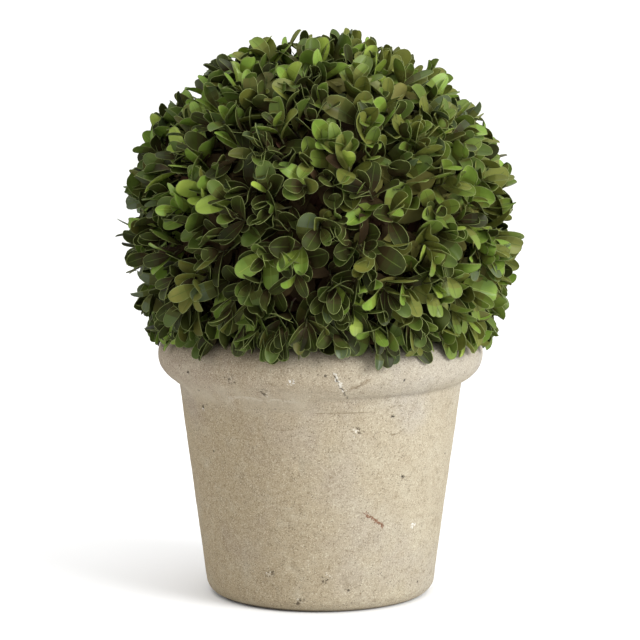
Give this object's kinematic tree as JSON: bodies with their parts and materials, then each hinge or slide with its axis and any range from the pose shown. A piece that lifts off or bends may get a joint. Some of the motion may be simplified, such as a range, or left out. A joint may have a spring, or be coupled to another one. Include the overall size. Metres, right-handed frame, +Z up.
{
  "type": "potted box topiary ball",
  "caption": "Clipped ball of small evergreen box leaves on a short hidden stem, standing in a tapered round pale stone-like pot with a thick rolled rim.",
  "frame": {"origin": "middle of the pot's flat underside", "axes": "+Z up along the pot's axis; the pot and the ball are round, so +X and +Y are any two level directions at right angles, and the pictured side faces -Y"},
  "size_m": [0.2522, 0.2474, 0.3505],
  "materials": {
    "pot": "unglazed, coarse pale beige cast clay with fine dark specks, pits and small chips",
    "potting_mix": "dark crumbly bark compost, matt",
    "bark": "thin grey-brown box bark, matt",
    "foliage": "small leathery leaves, dark to olive green with a soft sheen and thin pale margins"
  },
  "bodies": {
    "root": {"pot": "pot", "potting_mix": "potting_mix", "stem": "bark", "foliage_ball": "foliage"}
  },
  "joints": []
}
